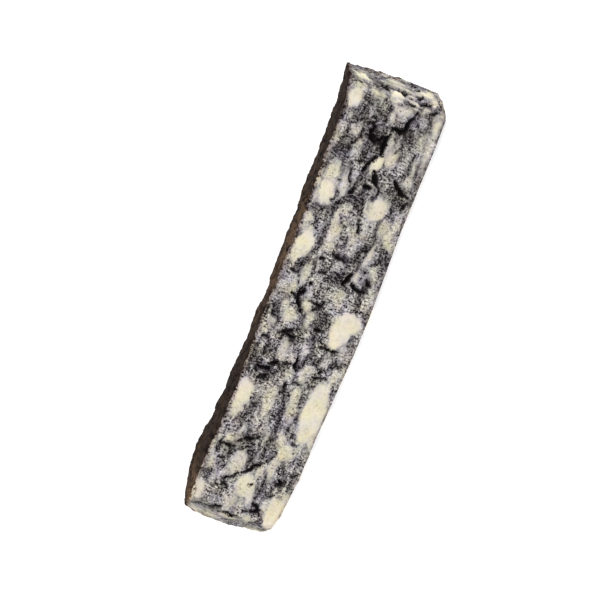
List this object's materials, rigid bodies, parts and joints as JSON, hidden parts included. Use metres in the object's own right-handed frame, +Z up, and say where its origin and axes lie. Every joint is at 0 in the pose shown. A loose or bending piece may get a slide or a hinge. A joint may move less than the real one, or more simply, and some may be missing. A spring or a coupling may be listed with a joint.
{
  "type": "cheese wedge",
  "caption": "Long wedge of hard cheese with black-and-cream marbled paste, a dark natural rind on its broad side and crumbly broken ends, lying on one cut face.",
  "frame": {"origin": "under the middle of the bounding box, on the cut face that the wedge lies on", "axes": "+X along the wedge's length, +Y across it towards the rind, +Z up from the cut face it lies on"},
  "size_m": [0.2302, 0.0558, 0.024],
  "materials": {
    "paste": "satin, crumbly cheese paste marbled in cream, grey and black, with a matt dark brown rind"
  },
  "bodies": {
    "root": {"cheese_wedge": "paste"}
  },
  "joints": []
}
